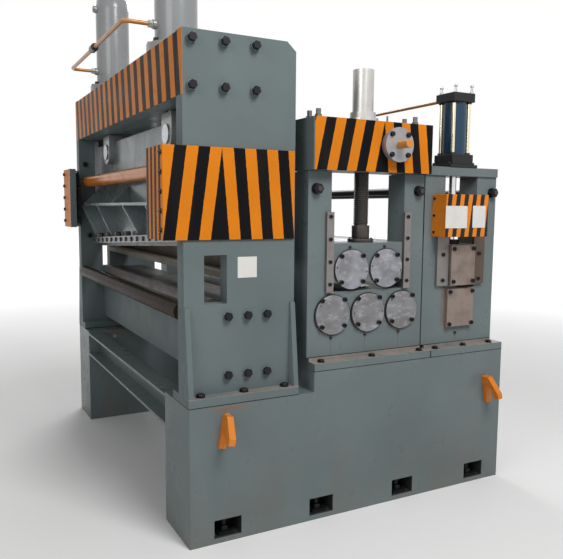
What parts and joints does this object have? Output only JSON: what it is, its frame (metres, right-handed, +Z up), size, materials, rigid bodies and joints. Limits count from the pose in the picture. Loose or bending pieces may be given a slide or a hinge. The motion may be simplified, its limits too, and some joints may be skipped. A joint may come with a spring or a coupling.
{
  "type": "coil slitting machine entry unit",
  "caption": "Entry unit of a coil slitting machine: hydraulic crop shear, roller straightener and pinch rolls on one floor-standing base.",
  "frame": {"origin": "centre of the foundation-bolt pattern, at the underside of the base, on the floor", "axes": "+X against the strip's travel, from the shear towards the pinch rolls; +Y from the near (operator's) side to the far side; +Z up"},
  "size_m": [2.0465, 2.677, 2.92],
  "materials": {
    "machine_paint": "satin grey-green enamel",
    "hazard_paint": "orange enamel with black slanting stripes",
    "orange_paint": "orange enamel",
    "cylinder_paint": "light grey enamel",
    "blue_paint": "dark blue enamel on black end blocks",
    "machined_steel": "turned and ground faces",
    "brown_steel": "ground faces with a brown film of oil and rust",
    "knife_steel": "ground tool steel",
    "roll_steel": "ground and hardened",
    "black_steel": "black oxide",
    "galvanised_steel": "bright zinc",
    "shaft_steel": "turned, end painted orange",
    "rod_chrome": "hard chrome"
  },
  "bodies": {
    "frame": {"carrier_guides": "machined_steel", "cross_members": "machine_paint", "cross_shaft": "shaft_steel", "exit_bearings": "machined_steel", "far_guide_cover": "hazard_paint", "far_leveller_stand": "machine_paint", "far_pinch_cylinder": "blue_paint", "far_pinch_stand": "machine_paint", "far_screw_box": "machine_paint", "far_shear_cylinder": "cylinder_paint", "far_shear_plate": "machine_paint", "far_sill": "machine_paint", "hold_down_beam": "machine_paint", "leveller_keepers": "machined_steel", "lifting_hooks": "orange_paint", "lower_knife": "knife_steel", "lower_pinch_chocks": "brown_steel", "lower_pinch_covers": "brown_steel", "lower_roll_covers": "machined_steel", "near_guide_cover": "hazard_paint", "near_leveller_stand": "machine_paint", "near_pinch_cylinder": "blue_paint", "near_pinch_stand": "machine_paint", "near_screw_box": "machine_paint", "near_shear_cylinder": "cylinder_paint", "near_shear_plate": "machine_paint", "near_sill": "machine_paint", "pinch_guards": "hazard_paint", "pinch_keepers": "brown_steel", "pinch_oil_pipe": "orange_paint", "pinch_top_plates": "machine_paint", "screw_covers": "galvanised_steel", "shaft_flanges": "machined_steel", "shear_bed": "machine_paint", "shear_oil_pipe": "orange_paint", "shear_top_beam": "machine_paint", "spreader_tube": "orange_paint", "tie_bars": "black_steel"},
    "knife_slide": {"knife_carrier": "machine_paint", "upper_knife": "knife_steel", "shear_rods": "machined_steel", "rod_pins": "machined_steel"},
    "screwdown": {"near_carriage": "machine_paint", "far_carriage": "machine_paint", "upper_roll_covers": "machined_steel", "adjusting_screws": "black_steel"},
    "pinch_slide": {"upper_pinch_chocks": "brown_steel", "upper_pinch_covers": "brown_steel", "pinch_rods": "rod_chrome"},
    "exit_roll": {"exit_roller": "roll_steel"},
    "upper_roll_1": {"upper_leveller_roll_1": "roll_steel"},
    "upper_roll_2": {"upper_leveller_roll_2": "roll_steel"},
    "lower_roll_1": {"lower_leveller_roll_1": "roll_steel"},
    "lower_roll_2": {"lower_leveller_roll_2": "roll_steel"},
    "lower_roll_3": {"lower_leveller_roll_3": "roll_steel"},
    "upper_pinch": {"upper_pinch_roll": "roll_steel"},
    "lower_pinch": {"lower_pinch_roll": "roll_steel"}
  },
  "joints": [
    {"name": "knife_stroke", "type": "slide", "parent": "frame", "child": "knife_slide", "axis": [0, 0, -1], "range_m": [0, 0.265]},
    {"name": "screwdown_travel", "type": "slide", "parent": "frame", "child": "screwdown", "axis": [0, 0, 1], "range_m": [-0.043, 0.08]},
    {"name": "pinch_travel", "type": "slide", "parent": "frame", "child": "pinch_slide", "axis": [0, 0, 1], "range_m": [-0.011, 0.1]},
    {"name": "exit_roll_turn", "type": "hinge", "parent": "frame", "child": "exit_roll", "pos_m": [-0.929, 0, 1.0775], "axis": [0, 1, 0], "continuous": true},
    {"name": "upper_roll_1_turn", "type": "hinge", "parent": "screwdown", "child": "upper_roll_1", "pos_m": [-0.0685, 0, 1.25], "axis": [0, 1, 0], "continuous": true},
    {"name": "upper_roll_2_turn", "type": "hinge", "parent": "screwdown", "child": "upper_roll_2", "pos_m": [0.1465, 0, 1.25], "axis": [0, 1, 0], "continuous": true},
    {"name": "lower_roll_1_turn", "type": "hinge", "parent": "frame", "child": "lower_roll_1", "pos_m": [-0.176, 0, 1.025], "axis": [0, 1, 0], "continuous": true},
    {"name": "lower_roll_2_turn", "type": "hinge", "parent": "frame", "child": "lower_roll_2", "pos_m": [0.039, 0, 1.025], "axis": [0, 1, 0], "continuous": true},
    {"name": "lower_roll_3_turn", "type": "hinge", "parent": "frame", "child": "lower_roll_3", "pos_m": [0.254, 0, 1.025], "axis": [0, 1, 0], "continuous": true},
    {"name": "upper_pinch_turn", "type": "hinge", "parent": "pinch_slide", "child": "upper_pinch", "pos_m": [0.656, 0, 1.251], "axis": [0, 1, 0], "continuous": true},
    {"name": "lower_pinch_turn", "type": "hinge", "parent": "frame", "child": "lower_pinch", "pos_m": [0.656, 0, 1.015], "axis": [0, 1, 0], "continuous": true}
  ]
}
